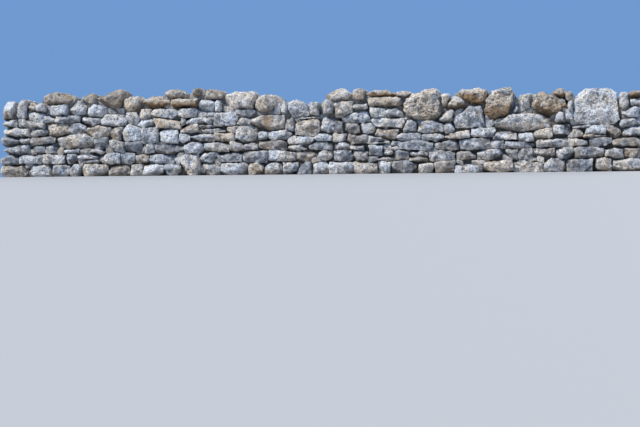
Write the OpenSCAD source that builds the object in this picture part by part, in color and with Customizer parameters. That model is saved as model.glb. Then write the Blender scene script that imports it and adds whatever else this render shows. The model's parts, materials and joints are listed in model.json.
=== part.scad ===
// Dry stone field wall: two faces of fitted rubble, a packed core, built heads and rough coping boulders

/* [Wall] */
// Length of the stretch, end to end
wall_l = 11520; // [9600:20:13800]
// Height from the foot to the tallest coping stones
wall_h = 1560; // [1320:10:1800]
// Thickness across the faces at the foot
foot_t = 840; // [760:10:960]
// Thickness across the faces at coping level
head_t = 640; // [580:10:720]
// Width of the packed core between the two faces
core_t = 200; // [140:10:260]

/* [Face stones] */
// Usual length of a stone in the front face
front_stone_l = 370; // [320:10:460]
// Usual length of a stone in the back face
back_stone_l = 460; // [400:10:560]
// How much the length of a stone varies about the usual
length_spread = 0.42; // [0.1:0.02:0.5]
// Rise and fall of the beds along the wall
bed_wave = 22; // [0:1:30]
// Most that a face stone stands proud of the batter line
proud = 34; // [10:1:45]
// Depth over which the worn edges of a face stone round off
arris_depth = 62; // [40:1:90]
// Width lost at the worn edges of a face stone
arris = 20; // [10:1:26]
// Most that a joint leans out of true, in degrees
joint_tilt = 7; // [0:1:10]
// Clearance between neighbouring stones where they bear
joint = 0.6; // [0.4:0.1:1]

/* [Coping] */
// Depth over which the worn edges of a coping stone round off
cap_round_depth = 110; // [70:5:140]
// Width lost at the worn edges of a coping stone
cap_round = 46; // [25:1:60]

/* [Heads] */
// Usual length along the wall of the stones that close its ends
head_l = 420; // [340:10:520]

/* [Hidden] */
// Wall length and height at which the stones below are listed, and the scale that follows the sizes above
layout_l = 11520;
layout_h = 1560;
along = wall_l / layout_l;
up = wall_h / layout_h;
half_l = wall_l / 2;
half_core = core_t / 2;

// Heights of the face and core courses from the ground up, and the usual length of a core block
rows = [230, 190, 175, 170, 160, 155, 145];
core_rows = [420, 400, 380, 380];
core_stone_l = 640;
left_head_count = 6;
right_head_count = 4;

// How far an outline may grow past its listed size before its neighbours trim it
side_slack = 110;
bed_slack = 100;
coping_slack = [40, 24, 12];
corner_power = 4;
shortest_edge = 14;

// The least stone that a waller would lay, and when a stone gives way to a boulder
least_area = 9000;
least_rise = 38;
least_share = 0.36;
most_covered = 0.55;

// Irregularities of the courses: split stones, uneven seats and tall stones through two courses
split_share = 0.15;
least_split = 175;
wave_step = 14;
bed_step = 14;
jumper_reach = 0.86;
jumper_shift = 160;
jumper_rows = 4;
jumper_half_l = [190, 290];
jumper_rise = [0.45, 0.95];
front_jumper_count = 13;
back_jumper_count = 15;
footing_proud = 20;

// Listed face stones that have a node each, and the length over which the others leave their course's node
single_face = 3;
large_stone_l = 350;

// Numbers that keep the random picks of one layer apart from those of the others
pattern = 4100;
jumper_key = 300;
head_key = 700;
back_key = 2000;
core_key = 4000;
back_face_key = 9000;
through_key = 17000;

// Outlines of stones, in a box from -1 to 1, counter-clockwise from the lower left
block = [[-1, -0.8], [-0.8, -1], [0.85, -1], [1, -0.75], [1, 0.75], [0.8, 1], [-0.85, 1], [-1, 0.7]];
rounded = [[-0.95, -0.6], [-0.6, -1], [0.6, -1], [1, -0.5], [0.95, 0.4], [0.5, 0.95], [-0.3, 1], [-0.9, 0.5]];
clipped = [[-1, -1], [0.9, -1], [1, -0.8], [0.97, 0.9], [0.85, 1], [-0.55, 0.98], [-1, 0.5]];
rising = [[-1, -1], [0.9, -1], [1, -0.4], [0.98, 0.6], [0.75, 1], [0.2, 0.95], [-0.7, 0.35], [-1, -0.1]];
falling = [[-1, -0.3], [-0.9, -1], [1, -1], [1, -0.1], [0.7, 0.4], [-0.1, 0.95], [-0.75, 1], [-1, 0.5]];
sloping = [
    [-0.8, -0.65], [-0.5, -0.92], [0.3, -1], [0.8, -0.8], [0.97, -0.3],
    [0.93, 0.1], [0.65, 0.95], [0.3, 1], [-0.75, 0.58], [-1, 0.38], [-1, 0]
];
gable = [[-1, -0.7], [-0.8, -1], [0.8, -1], [1, -0.6], [0.85, 0.1], [0.2, 0.95], [-0.2, 1], [-0.9, 0.1]];
keel = [
    [-1, -0.1], [-0.5, -0.68], [0.05, -1], [0.4, -0.95], [0.92, -0.2],
    [1, 0.15], [0.6, 0.6], [0.25, 0.9], [-0.6, 1], [-1, 0.65]
];
boat = [[-1, 0.1], [-0.1, -0.75], [0.25, -1], [0.6, -0.85], [1, 0.1], [0.92, 0.5], [0.35, 1], [-0.6, 0.85]];
tall = [
    [-0.82, -0.84], [-0.27, -1], [0.28, -0.9], [0.78, -0.52], [1, -0.08],
    [0.95, 0.4], [0.6, 1], [0, 0.94], [-0.58, 0.5], [-1, -0.05]
];
lens = [[-1, -0.25], [-0.5, -0.95], [0.45, -1], [1, -0.1], [0.9, 0.25], [0.35, 0.95], [-0.4, 1], [-0.9, 0.3]];
leaning = [[-1, -1], [0.4, -1], [0.75, -0.6], [1, 0.75], [0.8, 1], [-0.1, 1], [-0.45, 0.8]];
usual_forms = [block, block, rounded, lens, block, falling, rising, block];
function usual_form(k) = usual_forms[floor(pick(0, len(usual_forms) - 0.01, k))];

// Coping stones in order: middle along the wall, seat height, length, height, outline
coping_1 = [
    [-5190, 1220, 190, 150, rounded],
    [-5010, 1225, 180, 135, block],
    [-4680, 1160, 380, 185, block],
    [-4670, 1330, 540, 225, rounded],
    [-4300, 1160, 350, 255, gable],
    [-3945, 1110, 350, 235, rounded],
    [-4090, 1340, 260, 190, rounded],
    [-3660, 1265, 580, 340, rising],
    [-3300, 1180, 400, 280, block],
    [-2830, 1250, 540, 215, lens],
    [-2470, 1385, 310, 190, rounded]
];
coping_2 = [
    [-2250, 1260, 560, 170, block],
    [-2030, 1425, 200, 170, rounded],
    [-1720, 1380, 380, 175, lens],
    [-1885, 1145, 340, 235, rounded],
    [-1645, 1170, 140, 200, rounded],
    [-1270, 1210, 650, 300, clipped],
    [-755, 1150, 530, 295, rounded],
    [-455, 1105, 150, 205, block],
    [-190, 1050, 420, 300, falling],
    [110, 1080, 190, 210, block]
];
coping_3 = [
    [290, 1085, 260, 270, rounded],
    [570, 1310, 450, 225, gable],
    [890, 1290, 210, 230, block],
    [940, 1175, 220, 125, block],
    [1290, 1365, 560, 115, lens],
    [1680, 1360, 260, 80, block],
    [1360, 1220, 620, 140, block],
    [2400, 1195, 170, 200, block],
    [2615, 1130, 400, 210, rounded]
];
coping_4 = [
    [3620, 1055, 120, 145, gable],
    [3805, 1090, 225, 265, block],
    [4395, 1270, 200, 175, rounded],
    [4530, 1235, 190, 150, rounded],
    [4400, 890, 150, 180, gable],
    [4530, 890, 130, 140, block],
    [4570, 1070, 110, 165, block],
    [5440, 1060, 170, 315, leaning]
];
sloping_boulder = [2025, 955, 730, 545, sloping];
overhanging_boulder = [2885, 1200, 600, 290, boat];
tall_boulder = [3350, 950, 595, 550, tall];
keeled_boulder = [4215, 960, 630, 435, keel];
great_slab = [5000, 835, 760, 620, clipped];
single_boulders = [sloping_boulder, overhanging_boulder, tall_boulder, keeled_boulder, great_slab];
coping = concat(coping_1, coping_2, coping_3, coping_4, single_boulders);

// Larger stones of the front face: middle along the wall, seat height, length, height, outline
lens_boulder = [3775, 700, 900, 340, lens];
grey_boulder = [2835, 790, 545, 370, rounded];
rounded_boulder = [-735, 795, 635, 320, rounded];
face_boulders = [
    lens_boulder, grey_boulder, rounded_boulder,
    [-4945, 1020, 450, 190, block],
    [-4485, 1000, 460, 150, block],
    [-4050, 930, 390, 180, lens],
    [-3610, 910, 490, 290, block],
    [-3240, 960, 260, 170, block],
    [-3040, 1050, 250, 190, rounded],
    [-2660, 1045, 460, 200, block],
    [-2215, 1050, 310, 190, rounded],
    [-4645, 790, 410, 205, block],
    [-4290, 800, 300, 190, rounded],
    [-3870, 720, 430, 210, lens],
    [-3545, 670, 220, 235, rounded],
    [-3255, 645, 360, 290, rounded],
    [-2945, 640, 260, 250, rounded],
    [-4300, 520, 620, 265, lens],
    [-3840, 500, 290, 210, gable],
    [-3560, 460, 330, 205, lens],
    [-3225, 450, 310, 185, block],
    [-2550, 870, 390, 170, block],
    [-3040, 890, 230, 150, lens],
    [-2550, 600, 310, 255, rounded],
    [-1520, 890, 420, 290, gable],
    [-1115, 580, 380, 320, rounded],
    [-835, 645, 180, 150, rounded],
    [-530, 640, 370, 160, lens],
    [-45, 695, 430, 290, lens],
    [-155, 530, 410, 170, lens],
    [-330, 810, 180, 180, gable],
    [615, 1010, 390, 250, rounded],
    [855, 900, 510, 220, lens],
    [415, 750, 350, 260, block],
    [1215, 1010, 320, 165, gable],
    [1555, 990, 330, 170, block],
    [1430, 820, 630, 180, lens],
    [815, 725, 230, 170, rounded],
    [1060, 720, 280, 170, block],
    [1410, 640, 420, 180, lens],
    [1810, 740, 240, 180, rounded],
    [2160, 710, 480, 190, block],
    [2475, 705, 180, 210, gable],
    [2430, 910, 240, 190, rounded],
    [3075, 650, 390, 150, lens],
    [3465, 570, 390, 150, block],
    [3800, 540, 290, 150, lens],
    [4085, 590, 350, 190, rounded],
    [4420, 670, 320, 160, rounded],
    [4980, 655, 300, 120, lens],
    [1775, 590, 440, 145, block],
    [1870, 420, 490, 170, rounded],
    [295, 590, 260, 160, block],
    [880, 520, 380, 200, rounded],
    [1200, 300, 250, 230, rounded]
];

// A repeatable pick between two values for a numbered choice
function pick(low, high, k) = rands(low, high, 1, pattern + k)[0];
function sum_to(v, n) = n <= 0 ? 0 : v[n - 1] + sum_to(v, n - 1);
function middle(p) = [for (k = [0, 1]) sum_to([for (v = p) v[k]], len(p)) / len(p)];

// Half sizes and centre of a listed stone at the wall's own scale: x, z, half length, half height
function box_of(s) = [s[0] * along, (s[1] + s[3] / 2) * up, s[2] * along / 2, s[3] * up / 2];

// Part of a convex outline on the inner side of a line with normal n at distance d
function cut(p, n, d) = [
    for (i = [0 : 1 : len(p) - 1])
        let (a = p[i], b = p[(i + 1) % len(p)], da = a * n - d, db = b * n - d)
        each concat(da <= 0 ? [a] : [], da * db < 0 ? [a + (b - a) * (da / (da - db))] : [])
];
function cut_all(p, lines, i = 0) =
    i >= len(lines) || len(p) < 3 ? p : cut_all(cut(p, lines[i][0], lines[i][1]), lines, i + 1);

// Outline without its very short edges
function tidy(p) = [
    for (i = [0 : 1 : len(p) - 1]) if (norm(p[(i + 1) % len(p)] - p[i]) > shortest_edge) p[i]
];

// How far a box with worn corners reaches from its centre in direction n
function extent(s, n) =
    let (q = corner_power / (corner_power - 1))
    pow(pow(s[2] * abs(n[0]), q) + pow(s[3] * abs(n[1]), q), 1 / q);

// Direction of the joint between two stones: upright side by side, level one above the other
function facing(a, b) =
    let (
        u = (b[0] - a[0]) / (a[2] + b[2]),
        v = (b[1] - a[1]) / (a[3] + b[3]),
        g = [
            sign(u) * pow(abs(u), corner_power - 1) / (a[2] + b[2]),
            sign(v) * pow(abs(v), corner_power - 1) / (a[3] + b[3])
        ]
    )
    g / norm(g);

// Whether a stone is a listed boulder, which keeps its own size beside a stone of the courses
function is_big(a) = len(a) > 6;

// Line that parts stone a from stone b, in proportion to their sizes and a little out of true
function turned(n, t) = [n[0] * cos(t) - n[1] * sin(t), n[0] * sin(t) + n[1] * cos(t)];
function parting(a, b) =
    let (
        key = round(a[0] + b[0]) + 7 * round(a[1] + b[1]),
        n = turned(facing(a, b), pick(-joint_tilt, joint_tilt, key)),
        ea = extent(a, n),
        eb = extent(b, n),
        gap = [b[0] - a[0], b[1] - a[1]] * n,
        fair = gap * ea / (ea + eb),
        kept = is_big(a) == is_big(b) ? fair : is_big(a) ? max(ea, fair) : gap - max(eb, gap - fair)
    )
    [n, [a[0], a[1]] * n + kept - joint / 2];

function near(a, b) =
    abs(a[0] - b[0]) < a[2] + b[2] + 2 * side_slack && abs(a[1] - b[1]) < a[3] + b[3] + 2 * bed_slack;

// Edge lines of an outline, with normals outwards
function edges(p) = [
    for (i = [0 : 1 : len(p) - 1])
        let (a = p[i], e = p[(i + 1) % len(p)] - a, n = [e[1], -e[0]] / norm(e))
        [n, a * n]
];

// Outline of a listed stone with its own small irregularities, before its neighbours trim it
function own_outline(s, k) =
    let (b = box_of(s), f = s[4])
    [
        for (i = [0 : 1 : len(f) - 1])
            [
                b[0] + (b[2] + coping_slack[0]) * f[i][0] * pick(0.95, 1.03, 37 * k + i),
                b[1] + (b[3] + coping_slack[f[i][1] < 0 ? 1 : 2]) * f[i][1] * pick(0.95, 1.02, 41 * k + i)
            ]
    ];

function hull_turn(a, b, c) = (b[0] - a[0]) * (c[1] - b[1]) - (b[1] - a[1]) * (c[0] - b[0]);

// Outline with its hollow corners left out
function convex(p) =
    let (
        n = len(p),
        q = [for (i = [0 : n - 1]) if (hull_turn(p[(i + n - 1) % n], p[i], p[(i + 1) % n]) > 1) p[i]]
    )
    len(q) == n || len(q) < 3 ? q : convex(q);

// Stones that close the two ends, one above the other, alternately long and short
function head_box(side, r) =
    let (
        w = head_l * (r % 2 == 0 ? 1.2 : 0.8) * pick(0.92, 1.08, head_key + r + 20 * side),
        z = sum_to(rows, r) * up,
        h = rows[r] * up
    )
    [side * (half_l - w / 2), z + h / 2, w / 2, h / 2];
left_heads = [for (r = [0 : left_head_count - 1]) head_box(-1, r)];
right_heads = [for (r = [0 : right_head_count - 1]) head_box(1, r)];
function head_end(heads, r) = r < len(heads) ? 2 * heads[r][2] : 0;
function longest(heads) = max([for (h = heads) 2 * h[2]]);
left_top = [
    [-5640, 1080, 240, 330, clipped],
    [-5385, 1110, 320, 320, leaning]
];
right_top = [
    [5585, 770, 350, 150, block],
    [5600, 930, 320, 195, block],
    [5655, 1135, 200, 130, block],
    [5650, 1275, 210, 115, lens]
];

// Through stones, which reach from face to face: coping first, then the heads
through_listed = concat(coping, left_top, right_top);
through_boxes = concat([for (s = through_listed) box_of(s)], left_heads, right_heads);
function through_start(k) =
    k < len(through_listed) ? own_outline(through_listed[k], k) :
    let (b = through_boxes[k])
    [
        for (c = block)
            [b[0] + b[2] * c[0] * pick(1, 1.04, 900 + 7 * k + c[1]), b[1] + (b[3] + bed_slack) * c[1]]
    ];
function trimmed(k, boxes, start, others) =
    let (a = boxes[k])
    tidy(cut_all(convex(start), concat(
        [[[0, -1], 0], [[-1, 0], half_l], [[1, 0], half_l]],
        [for (j = [0 : len(boxes) - 1]) if (j != k && near(a, boxes[j])) parting(a, boxes[j])],
        others
    )));
through = [for (k = [0 : len(through_boxes) - 1]) trimmed(k, through_boxes, through_start(k), [])];
through_limits = [
    for (p = through)
        [min([for (v = p) v[0]]), max([for (v = p) v[0]]), min([for (v = p) v[1]]), max([for (v = p) v[1]])]
];

// Area of an outline, and the edge line of a neighbour that leaves most of it
function cross_of(a, b) = a[0] * b[1] - b[0] * a[1];
function area(p) =
    sum_to([for (i = [0 : 1 : len(p) - 1]) cross_of(p[i], p[(i + 1) % len(p)])], len(p)) / 2;
function outward(e) = [-e[0], -e[1] - joint];
function best_edge(start, lines) =
    let (left = [for (e = lines) area(cut(start, outward(e)[0], outward(e)[1]))], most = max(left))
    [for (i = [0 : len(left) - 1]) if (left[i] == most) outward(lines[i])][0];
function touches(a, l) =
    l[0] < a[0] + a[2] + side_slack && l[1] > a[0] - a[2] - side_slack
    && l[2] < a[1] + a[3] + bed_slack && l[3] > a[1] - a[3] - bed_slack;

// The edges of the through stones that bound a stone of a face
function outline(a, form, side, bed) = [
    for (v = form) [a[0] + (a[2] + side) * v[0], a[1] + (a[3] + bed) * v[1]]
];
function bounds_for(a) = [
    for (k = [0 : len(through) - 1])
        if (touches(a, through_limits[k])) best_edge(outline(a, block, 0, 0), edges(through[k]))
];
function box_area(a) = 4 * a[2] * a[3];
function fits_in(a) = area(cut_all(outline(a, block, 0, 0), bounds_for(a))) > least_share * box_area(a);
function rides_on(a, l) = l[0] < a[0] && a[0] < l[1] && (l[2] + l[3]) / 2 < a[1];
function is_under_coping(a) =
    len([for (k = [0 : len(through_listed) - 1]) if (rides_on(a, through_limits[k])) 1]) == 0;
function lap(a, b, k) =
    max(0, min(a[k] + a[k + 2], b[k] + b[k + 2]) - max(a[k] - a[k + 2], b[k] - b[k + 2]));
function covered(a, b) = lap(a, b, 0) * lap(a, b, 1) / box_area(a);
function inside_boulder(a, big) = sum_to([for (b = big) covered(a, b)], len(big)) > most_covered;

// One row of stones of random lengths that fill the wall from end to end
function row_boxes(rows, r, usual, big, key) =
    let (
        is_core = key == core_key,
        left = -half_l + (is_core ? longest(left_heads) : head_end(left_heads, r)),
        span = half_l - (is_core ? longest(right_heads) : head_end(right_heads, r)) - left,
        n = round(span / usual),
        w = rands(1 - length_spread, 1 + length_spread, n, pattern + key + 13 * r),
        stretch = span / sum_to(w, n),
        z = (sum_to(rows, r) + rows[r] / 2) * up
    )
    [
        for (i = [0 : n - 1])
            let (
                x = left + (sum_to(w, i) + w[i] / 2) * stretch,
                wave = bed_wave * sin(x / wave_step + 70 * r + key),
                tall = rows[r] * up * pick(0.86, 1.16, key + 90 * r + i),
                seat = r > 0 ? wave + pick(-bed_step, bed_step, key + 77 * r + i) : 0,
                b = [x, z + seat, w[i] * stretch / 2, tall / 2],
                is_split = r > 0 && tall > least_split && pick(0, 1, key + 55 * r + 3 * i + 2) < split_share
            )
            each [
                for (c = is_split ? halves(b, pick(0.4, 0.6, key + 5 * i + r)) : [b])
                    if (!inside_boulder(c, big)) concat(c, [r, usual_form(key + 3 * i + 50 * r)])
            ]
    ];

// Two thin stones laid one on the other in place of one
function halves(b, share) = [
    [b[0], b[1] - b[3] * (1 - share), b[2], b[3] * share],
    [b[0], b[1] + b[3] * share, b[2], b[3] * (1 - share)]
];

// Tall stones that run through two courses, spaced along the wall by rule
function jumper_boxes(count, key) = [
    for (i = [0 : count - 1])
        let (
            shift = pick(-jumper_shift, jumper_shift, key + i),
            x = jumper_reach * (wall_l * (i + 0.5) / count - half_l) + shift,
            r = floor(pick(0, jumper_rows - 0.01, key + 31 + i)),
            h = (rows[r] + rows[r + 1] * pick(jumper_rise[0], jumper_rise[1], key + 63 + i)) * up,
            half = pick(jumper_half_l[0], jumper_half_l[1], key + 95 + i)
        )
        [x, sum_to(rows, r) * up + h / 2, half, h / 2, r, usual_form(key + i)]
];
function laid(rows, usual, big, key) =
    let (all = [for (r = [0 : len(rows) - 1]) each row_boxes(rows, r, usual, big, key)])
    concat(big, [for (b = all) if (is_under_coping(b) && fits_in(b)) b]);

// A stone of a face or the core, trimmed by its neighbours and the through stones
function fitted(layer, i) =
    let (a = layer[i])
    trimmed(i, layer, outline(a, a[5], side_slack, bed_slack), bounds_for(a));

// Outline drawn in by a distance all round
function inset(p, d) = cut_all(p, [for (e = edges(p)) [e[0], e[1] - d]]);
function ring(p, y) = [for (v = p) [v[0], y, v[1]]];
function drawn(p, c, k) = [for (v = p) c + (v - c) * k];
function to_tenths(p) = [for (v = p) [for (c = v) round(c * 10) / 10]];

// A convex stone through all its rings of points
module stone(points) {
    p = to_tenths(points);
    hull() polyhedron(points = p, faces = [for (i = [0 : len(p) - 3]) [i, i + 1, i + 2]]);
}

// Half the wall's thickness at a height, and the plane that no stone passes on either side
function half_at(z) = (foot_t + (head_t - foot_t) * z / wall_h) / 2;
outermost = foot_t / 2 + proud;
function within(y) = min(y, outermost);

// Leaves out slivers, which a waller would never lay
function rise(p) = max([for (v = p) v[1]]) - min([for (v = p) v[1]]);
function is_stone(p) = len(p) > 2 && area(p) > least_area && rise(p) > least_rise;

// A face stone: full outline at its bed, worn back to a tilted, uneven face (side: -1 front, 1 back)
module face_stone(p, side, key) {
    if (is_stone(p)) {
        c = middle(p);
        out = half_at(c[1]) + pick(-6, proud, key);
        face = inset(p, arris * pick(0.7, 1.25, key + 1));
        lean = [pick(-0.07, 0.07, key + 2), pick(-0.1, 0.06, key + 3)];
        shown = len(face) > 2 ? face : drawn(p, c, 0.6);
        stone(concat(
            ring(p, side * (half_core + joint / 2)),
            ring(p, side * (out - arris_depth * pick(0.7, 1.2, key + 4))),
            [
                for (i = [0 : len(shown) - 1])
                    let (y = within(out + (shown[i] - c) * lean + pick(-9, 9, key + 5 + i)))
                    [shown[i][0], side * y, shown[i][1]]
            ]
        ));
    }
}

// A through stone: full outline in the middle, worn round towards both faces
module through_stone(p, key, footing = false) {
    if (len(p) > 2) {
        c = middle(p);
        low = min([for (v = p) v[1]]);
        seat = middle([for (v = p) if (v[1] < low + 1) v]);
        front = footing ? outermost + footing_proud : half_at(c[1]) + pick(-10, 40, key);
        back = footing ? outermost + footing_proud : half_at(c[1]) + pick(-20, 35, key + 1);
        turn = footing ? 0 : pick(-0.12, 0.12, key + 2);
        depth = cap_round_depth * pick(0.75, 1.25, key + 3);
        stone(concat(
            worn_face(p, c, seat, -1, front, turn, depth, key + 10),
            ring(drawn(p, seat, pick(0.93, 0.99, key + 4)), -front + depth),
            ring(p, pick(-90, 60, key + 6)),
            ring(drawn(p, seat, pick(0.9, 0.97, key + 5)), back - depth),
            worn_face(p, c, seat, 1, back, -turn, depth, key + 30)
        ));
    }
}
function worn_face(p, c, seat, side, out, turn, depth, key) =
    let (
        worn = min(cap_round, sqrt(area(p)) * 0.13),
        shy = inset(p, worn * pick(0.8, 1.3, key)),
        face = len(shy) > 2 ? shy : drawn(p, c, 0.62),
        mid = inset(p, worn * 0.28),
        shoulder = len(mid) > 2 ? mid : drawn(p, c, 0.85)
    )
    concat(
        [
            for (i = [0 : len(face) - 1])
                let (y = within(out + (face[i][0] - c[0]) * turn + pick(-16, 16, key + 1 + i)))
                [face[i][0], side * y, face[i][1]]
        ],
        ring(shoulder, side * (out - depth * 0.45))
    );

// Everything that stands in the front face, the back face and the core
front_big = [
    for (k = [0 : len(face_boulders) - 1])
        let (s = face_boulders[k], b = box_of(s), own = k < single_face || s[2] > large_stone_l)
        concat(b, [own ? -1 : row_at(b[1]), s[4], true])
];
back_big = [
    for (b = front_big)
        let (c = [-b[0], b[1], b[2], b[3], row_at(b[1]), b[5], true])
        if (is_under_coping(c) && fits_in(c)) c
];
function row_at(z) = len([for (r = [1 : len(rows) - 1]) if (sum_to(rows, r) * up < z) 1]);
function apart(b, others) = len([for (o = others) if (near(b, o)) 1]) == 0;
front_jumpers = [for (b = jumper_boxes(front_jumper_count, jumper_key)) if (apart(b, front_big)) b];
back_jumpers = [for (b = jumper_boxes(back_jumper_count, back_key + jumper_key)) if (apart(b, back_big)) b];
front = laid(rows, front_stone_l, concat(front_big, front_jumpers), 0);
back = laid(rows, back_stone_l, concat(back_big, back_jumpers), back_key);
core = laid(core_rows, core_stone_l, [], core_key);

module front_row(r) {
    color([0.72, 0.71, 0.68])
        for (i = [0 : len(front) - 1])
            if (front[i][4] == r) face_stone(fitted(front, i), -1, 30 * i);
}
module back_row(r) {
    color([0.69, 0.68, 0.65])
        for (i = [0 : len(back) - 1])
            if (back[i][4] == r) face_stone(fitted(back, i), 1, back_face_key + 30 * i);
}
module front_boulders(first, last) {
    color([0.76, 0.75, 0.71])
        for (i = [first : last]) if (front[i][4] < 0) face_stone(fitted(front, i), -1, 30 * i);
}

// Packed small stone between the faces, as blocks that bear on one another
module packed_core() {
    color([0.5, 0.49, 0.46])
        for (i = [0 : len(core) - 1]) {
            p = fitted(core, i);
            if (len(p) > 2) stone(concat(ring(p, -half_core + joint / 2), ring(p, half_core - joint / 2)));
        }
}
module through_group(first, count, tone) {
    color(tone)
        for (k = [first : first + count - 1])
            through_stone(through[k], through_key + 60 * k, through_boxes[k][1] < rows[0] * up);
}
module coping_group(g) {
    groups = [coping_1, coping_2, coping_3, coping_4];
    first = sum_to([for (h = groups) len(h)], g);
    through_group(first, len(groups[g]), [0.7, 0.66, 0.58]);
}
module single_boulder(k) {
    through_group(len(coping) - len(single_boulders) + k, 1, [0.78, 0.76, 0.71]);
}
module left_head() {
    through_group(len(coping), len(left_top), [0.74, 0.73, 0.7]);
    through_group(len(through_listed), len(left_heads), [0.7, 0.69, 0.66]);
}
module right_head() {
    through_group(len(coping) + len(left_top), len(right_top), [0.66, 0.6, 0.5]);
    through_group(len(through_listed) + len(left_heads), len(right_heads), [0.7, 0.69, 0.66]);
}

front_row(0);  // front_footings
front_row(1);  // front_course_2
front_row(2);  // front_course_3
front_row(3);  // front_course_4
front_row(4);  // front_course_5
front_row(5);  // front_course_6
front_row(6);  // front_course_7
back_row(0);  // back_footings
back_row(1);  // back_course_2
back_row(2);  // back_course_3
back_row(3);  // back_course_4
back_row(4);  // back_course_5
back_row(5);  // back_course_6
back_row(6);  // back_course_7
front_boulders(0, 0);  // lens_boulder
front_boulders(1, 1);  // grey_boulder
front_boulders(2, 2);  // rounded_boulder
front_boulders(single_face, len(face_boulders) - 1);
packed_core();  // core
coping_group(0);  // coping_1
coping_group(1);  // coping_2
coping_group(2);  // coping_3
coping_group(3);  // coping_4
single_boulder(0);  // sloping_boulder
single_boulder(1);  // overhanging_boulder
single_boulder(2);  // tall_boulder
single_boulder(3);  // keeled_boulder
single_boulder(4);  // great_slab
left_head();
right_head();
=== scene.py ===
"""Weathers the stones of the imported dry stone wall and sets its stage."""

import json
import math
import random

import bmesh
import bpy
from bpy.props import (
    FloatProperty,
    FloatVectorProperty,
    IntProperty,
    PointerProperty,
)
from mathutils import Matrix, Vector
from mathutils.bvhtree import BVHTree

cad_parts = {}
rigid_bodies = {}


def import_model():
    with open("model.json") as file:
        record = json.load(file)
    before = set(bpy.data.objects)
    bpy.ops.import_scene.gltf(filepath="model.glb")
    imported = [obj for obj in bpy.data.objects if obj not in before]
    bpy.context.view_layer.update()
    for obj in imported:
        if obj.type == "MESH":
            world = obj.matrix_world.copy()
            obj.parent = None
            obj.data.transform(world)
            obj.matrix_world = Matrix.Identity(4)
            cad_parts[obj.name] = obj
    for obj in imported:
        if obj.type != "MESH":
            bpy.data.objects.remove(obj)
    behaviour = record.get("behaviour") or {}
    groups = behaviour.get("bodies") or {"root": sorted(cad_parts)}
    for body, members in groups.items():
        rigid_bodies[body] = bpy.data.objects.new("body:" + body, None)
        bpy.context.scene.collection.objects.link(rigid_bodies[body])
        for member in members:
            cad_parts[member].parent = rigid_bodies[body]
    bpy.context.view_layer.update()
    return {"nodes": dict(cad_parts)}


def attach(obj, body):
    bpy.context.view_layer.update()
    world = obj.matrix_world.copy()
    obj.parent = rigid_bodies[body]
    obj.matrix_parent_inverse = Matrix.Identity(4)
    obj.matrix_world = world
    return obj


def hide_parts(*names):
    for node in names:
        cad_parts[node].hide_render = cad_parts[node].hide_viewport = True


bl_info = {
    "name": "Dry stone wall",
    "version": (1, 0, 0),
    "blender": (4, 5, 0),
    "location": "3D View > Sidebar > Wall",
    "description": "Weathers the stones of a dry stone wall and sets its stage",
    "category": "Object",
}

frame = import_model()

BODY = "root"
MERGE_DISTANCE = 0.0001

# Edges sharper than this stay crisp
FACET_ANGLE = math.radians(28)

# Colour attributes: a stone's look, and how high each point lies in its stone
STONE_LOOK = "stone"
STONE_RISE = "rise"

# Half the wall's thickness at the foot, what it loses per metre of height, the least that is left
# above, and the depth past which a stone shows on both faces
FOOT_HALF = 0.42
BATTER = 0.093
LEAST_FACE = 0.31
THROUGH = 0.5

# Stones are worked from left to right, and these weights settle the rest of the order
RISE_WEIGHT = 0.37
DEPTH_WEIGHT = 0.11

# Cuts on a stone: how far they lean, and their share of the chip depth. Breaks on the face of a
# stone bite no deeper where it reaches back more than FACE_REACH.
CHIP_OUTWARD = (0.3, 1)
CHIP_SHARE = (0.5, 1.5)
BREAK_LEAN = (-0.5, 0.5)
BREAK_SHARE = (0.5, 1.1)
OUTLINE_LEAN = (0.6, 1)
OUTLINE_CORNERS = ((1, 1), (-1, 1), (1, -1), (-1, -1))
FACE_REACH = 0.3
LEAST_CHIPS = 5

# Thin stones and the single coping boulders take finer facets than the rest
THIN_STONE = 0.13
THIN_GRAIN = 0.75
BOULDER_GRAIN = 0.65
BOULDER_KEPT = 0.5
BOULDER_SWELL = 1.45
BOULDER_WEAR = 0.4
SMOOTHING = 0.5

# Relief of every stone: name, kind of texture, its size in metres, middle level and settings.
# BED_SCALE draws the ledges out along the stone's beds.
BED_SCALE = (1.5, 1.5, 0.7)
RELIEF = (
    ("Swell", "CLOUDS", 0.22, 0.5, {"noise_depth": 2}),
    ("Lumps", "CLOUDS", 0.085, 0.5, {"noise_depth": 1}),
    ("Ledges", "VORONOI", 0.1, 0.45, {"weight_1": -0.6, "weight_2": 1.0}),
    ("Pits", "CLOUDS", 0.045, 0.35, {"noise_depth": 3, "noise_type": "HARD_NOISE"}),
)

# The search for holes in the faces, in metres
CELL = 0.02
SEARCH_HALF = 5.6
SEARCH_FOOT = 0.05
SEARCH_TOP = 1.6
OUTSIDE = 2.0
GAP_DEPTH = 0.13
LEAST_CELLS = 6

# The small stones that close the holes: packing deep inside, and a wedge in front of it.
# A fill is the depth of the packing behind the face, and the least cells that take a wedge:
# the low one up to WEDGE_TOP, the high one between the coping stones.
WEDGE_TOP = 0.95
LOW_FILL = (0.14, 22)
HIGH_FILL = (0.1, 30)
PACKING_SHARE = 1.3
WEDGE_DEPTH = 0.06
WEDGE_SHARE = 0.75
WEDGE_TURN = (-0.25, 0.25)
LEAST_WEDGE = 0.032
LONGEST_PIN = 0.26
PIN_SHAPES = 6
PIN_CUTS = (5, 0.12, 2)  # chips, their depth, and breaks
PIN_SPREAD = (0.94, 1.06)
PIN_MARGIN = 0.01
PIN_THICKNESS = (0.12, 0.15)
PIN_SETBACK = (0.0, 0.02)
PIN_TONE = (0.2, 1.0)
PIN_WARMTH = (0.0, 0.6)
PIN_STAIN = 0.3
PIN_LICHEN = 0.2

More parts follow.
